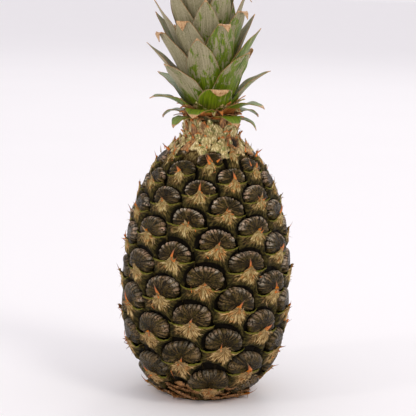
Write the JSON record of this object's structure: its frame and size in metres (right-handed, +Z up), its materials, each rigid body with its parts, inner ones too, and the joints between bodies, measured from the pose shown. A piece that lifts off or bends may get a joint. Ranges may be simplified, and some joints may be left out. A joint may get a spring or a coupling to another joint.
{
  "type": "pineapple",
  "caption": "Whole ripe pineapple with its leafy crown, standing upright on its cut base.",
  "frame": {"origin": "centre of the flat base that the fruit rests on", "axes": "+Z up the fruit's axis towards the crown, -Y towards the front, +X to the right of someone looking at the front"},
  "size_m": [0.1078, 0.108, 0.3077],
  "materials": {
    "rind": "rough, dark olive-brown fused eyes with dry straw-coloured bracts",
    "stem": "fibrous, pale green to brown",
    "collar_leaf": "waxy green with dry brown tips",
    "crown_leaf": "grey-green waxy bloom over green, thin brown margins"
  },
  "bodies": {
    "root": {"fruit": "rind", "crown_stem": "stem", "collar_leaf_01": "collar_leaf", "collar_leaf_02": "collar_leaf", "collar_leaf_03": "collar_leaf", "collar_leaf_04": "collar_leaf", "collar_leaf_05": "collar_leaf", "collar_leaf_06": "collar_leaf", "collar_leaf_07": "collar_leaf", "collar_leaf_08": "collar_leaf", "collar_leaf_09": "collar_leaf", "collar_leaf_10": "collar_leaf", "collar_leaf_11": "collar_leaf", "collar_leaf_12": "collar_leaf", "collar_leaf_13": "collar_leaf", "collar_leaf_14": "collar_leaf", "collar_leaf_15": "collar_leaf", "collar_leaf_16": "collar_leaf", "crown_leaf_01": "crown_leaf", "crown_leaf_02": "crown_leaf", "crown_leaf_03": "crown_leaf", "crown_leaf_04": "crown_leaf", "crown_leaf_05": "crown_leaf", "crown_leaf_06": "crown_leaf", "crown_leaf_07": "crown_leaf", "crown_leaf_08": "crown_leaf", "crown_leaf_09": "crown_leaf", "crown_leaf_10": "crown_leaf", "crown_leaf_11": "crown_leaf", "crown_leaf_12": "crown_leaf", "crown_leaf_13": "crown_leaf", "crown_leaf_14": "crown_leaf", "crown_leaf_15": "crown_leaf", "crown_leaf_16": "crown_leaf", "crown_leaf_17": "crown_leaf", "crown_leaf_18": "crown_leaf", "crown_leaf_19": "crown_leaf", "crown_leaf_20": "crown_leaf", "crown_leaf_21": "crown_leaf", "crown_leaf_22": "crown_leaf", "crown_leaf_23": "crown_leaf", "crown_leaf_24": "crown_leaf", "crown_leaf_25": "crown_leaf", "crown_leaf_26": "crown_leaf", "crown_leaf_27": "crown_leaf", "crown_leaf_28": "crown_leaf", "crown_leaf_29": "crown_leaf", "crown_leaf_30": "crown_leaf", "crown_leaf_31": "crown_leaf", "crown_leaf_32": "crown_leaf", "crown_leaf_33": "crown_leaf", "crown_leaf_34": "crown_leaf", "crown_leaf_35": "crown_leaf", "crown_leaf_36": "crown_leaf", "crown_leaf_37": "crown_leaf", "crown_leaf_38": "crown_leaf", "crown_leaf_39": "crown_leaf", "crown_leaf_40": "crown_leaf", "crown_leaf_41": "crown_leaf", "crown_leaf_42": "crown_leaf"}
  },
  "joints": []
}
